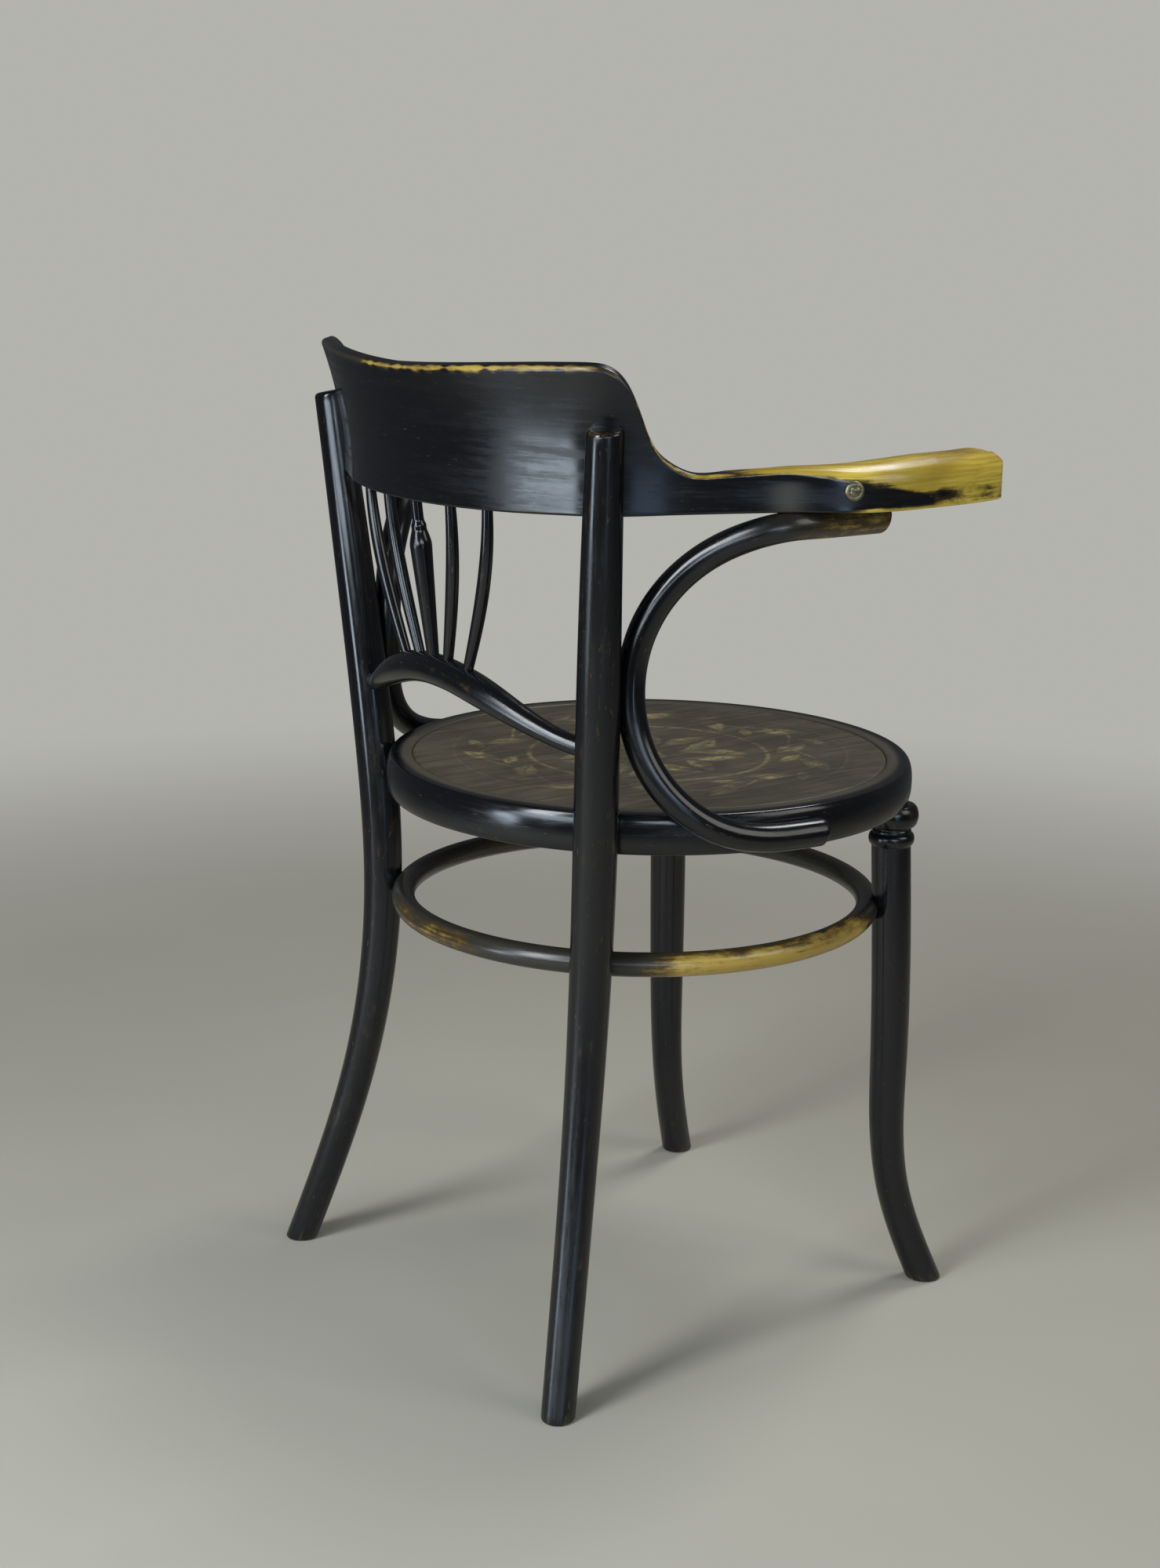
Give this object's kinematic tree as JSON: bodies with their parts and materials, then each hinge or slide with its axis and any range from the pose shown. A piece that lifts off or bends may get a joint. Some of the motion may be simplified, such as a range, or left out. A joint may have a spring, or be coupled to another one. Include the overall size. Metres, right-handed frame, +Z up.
{
  "type": "bentwood armchair",
  "caption": "Ebonised bentwood office armchair with a round embossed seat, a leg ring, and one bent board forming the crest rail and arms over a fan of spindles",
  "frame": {"origin": "on the floor under the middle of the chair's bounding box", "axes": "+Z up, the chair faces -Y, the sitter's left is +X"},
  "size_m": [0.5626, 0.4582, 0.7671],
  "materials": {
    "ebonised": "black lacquer, satin to glossy, worn to golden wood on edges and arm fronts",
    "seat_ply": "dark stained plywood with an embossed pattern, worn",
    "steel": "plain wood screws and bolts",
    "brass": "dull yellow metal"
  },
  "bodies": {
    "root": {"arm_pad_left": "ebonised", "arm_pad_right": "ebonised", "arm_rosette_left": "brass", "arm_rosette_right": "brass", "arm_screw_left": "brass", "arm_screw_right": "brass", "arm_support_left": "ebonised", "arm_support_right": "ebonised", "back_lower_rail": "ebonised", "crest_and_arm_rail": "ebonised", "crest_screw_high_left": "steel", "crest_screw_high_right": "steel", "crest_screw_low_left": "steel", "crest_screw_low_right": "steel", "front_leg_left": "ebonised", "front_leg_right": "ebonised", "leg_ring": "ebonised", "rear_leg_left": "ebonised", "rear_leg_right": "ebonised", "ring_screw_front_left": "steel", "ring_screw_front_right": "steel", "ring_screw_rear_left": "steel", "ring_screw_rear_right": "steel", "seat_bolt_left": "steel", "seat_bolt_right": "steel", "seat_panel": "seat_ply", "seat_rim": "ebonised", "spindle_centre": "ebonised", "spindle_inner_left": "ebonised", "spindle_inner_right": "ebonised", "spindle_outer_left": "ebonised", "spindle_outer_right": "ebonised", "support_arm_screw_left": "steel", "support_arm_screw_right": "steel", "support_leg_screw_left": "steel", "support_leg_screw_right": "steel", "support_rim_screw_front_left": "steel", "support_rim_screw_front_right": "steel", "support_rim_screw_rear_left": "steel", "support_rim_screw_rear_right": "steel"}
  },
  "joints": []
}
